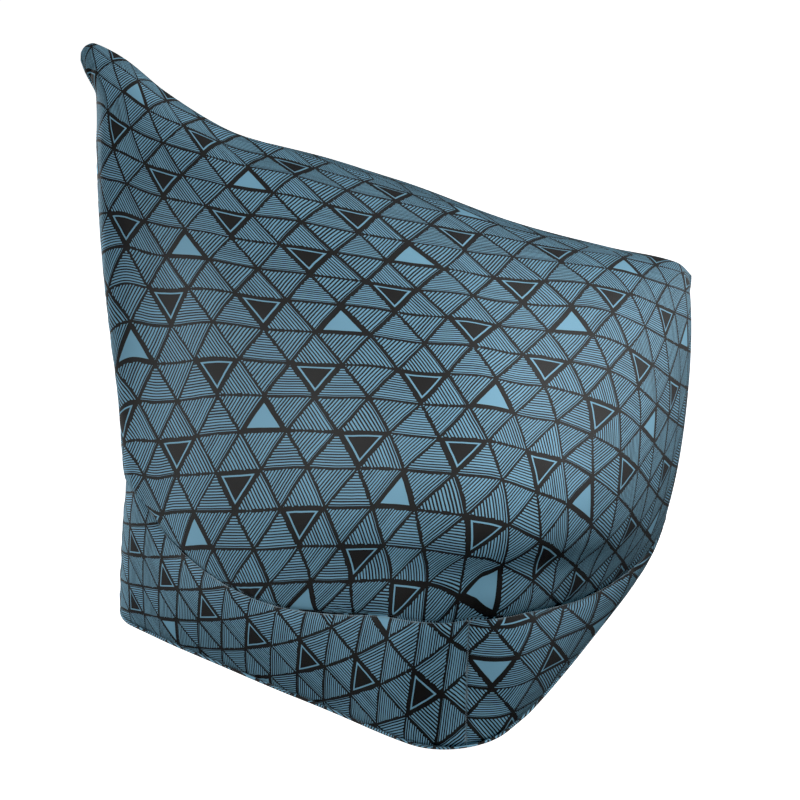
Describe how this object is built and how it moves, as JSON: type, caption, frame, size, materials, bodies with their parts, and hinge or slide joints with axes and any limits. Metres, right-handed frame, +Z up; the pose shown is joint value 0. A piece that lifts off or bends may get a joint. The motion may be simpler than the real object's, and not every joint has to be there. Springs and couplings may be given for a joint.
{
  "type": "bean bag cover",
  "caption": "Filled bean bag lounger cover with a tall pinched back, a lower rounded front and a boxed base, in cloth printed with hatched triangles.",
  "frame": {"origin": "the middle of the flat underside, on the floor", "axes": "+Z up, +X towards the low front, +Y to the left of someone who sits on it facing the front"},
  "size_m": [0.8258, 0.861, 0.8011],
  "materials": {
    "printed_cloth": "matt woven polyester, light blue hatched triangles printed on near black",
    "base_cloth": "matt woven polyester, the same print"
  },
  "bodies": {
    "root": {"main_cover": "printed_cloth", "band_right_back": "printed_cloth", "band_right_front": "printed_cloth", "band_left_front": "printed_cloth", "band_left_back": "printed_cloth", "bottom_panel": "base_cloth"}
  },
  "joints": []
}
